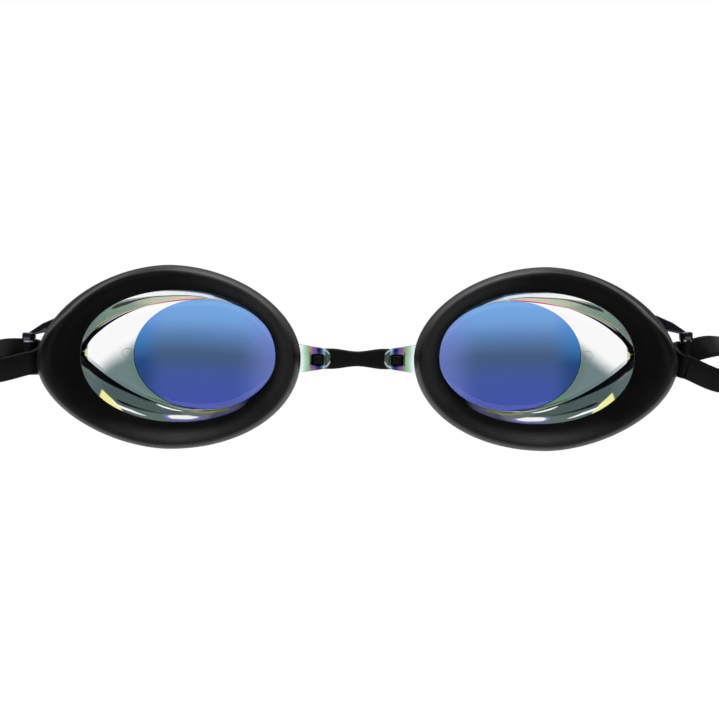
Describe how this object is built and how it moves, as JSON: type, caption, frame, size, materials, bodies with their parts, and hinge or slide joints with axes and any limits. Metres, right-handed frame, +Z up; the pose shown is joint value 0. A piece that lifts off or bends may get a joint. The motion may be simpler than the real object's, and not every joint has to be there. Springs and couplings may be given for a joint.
{
  "type": "swim goggles",
  "caption": "Swim goggles with moulded lens cups, soft face gaskets, a flexible nose bridge, oval lens films and a looped head strap gathered in a rear clip.",
  "frame": {"origin": "middle of the nose gap between the two gaskets, where the goggles meet the wearer's face", "axes": "+X to the wearer's right, +Y the way the wearer looks, +Z up"},
  "size_m": [0.2148, 0.0267, 0.1366],
  "materials": {
    "clear_lens": "clear polycarbonate with a thin iridescent mirror coating",
    "gasket_rubber": "satin black silicone",
    "blue_film": "thin blue stick-on film",
    "bridge_rubber": "matte black silicone",
    "strap_rubber": "satin black silicone band",
    "clip_plastic": "matte black moulded plastic"
  },
  "bodies": {
    "bridge": {"nose_bridge": "bridge_rubber", "head_strap": "strap_rubber"},
    "left_cup": {"left_lens": "clear_lens", "left_gasket": "gasket_rubber", "left_lens_film": "blue_film"},
    "right_cup": {"right_lens": "clear_lens", "right_gasket": "gasket_rubber", "right_lens_film": "blue_film"},
    "clip": {"rear_clip": "clip_plastic"}
  },
  "joints": [
    {"name": "left_cup_flex", "type": "hinge", "parent": "bridge", "child": "left_cup", "pos_m": [-0.0062, 0.0075, 0], "axis": [0, 0, 1], "range_deg": [-15, 25], "stiffness_Nm_per_rad": 0.03, "deforming": ["nose_bridge", "head_strap"]},
    {"name": "right_cup_flex", "type": "hinge", "parent": "bridge", "child": "right_cup", "pos_m": [0.0062, 0.0075, 0], "axis": [0, 0, -1], "range_deg": [-15, 25], "stiffness_Nm_per_rad": 0.03, "deforming": ["nose_bridge", "head_strap"]},
    {"name": "clip_slide", "type": "slide", "parent": "bridge", "child": "clip", "axis": [1, 0, 0], "range_m": [-0.012, 0.012]}
  ]
}
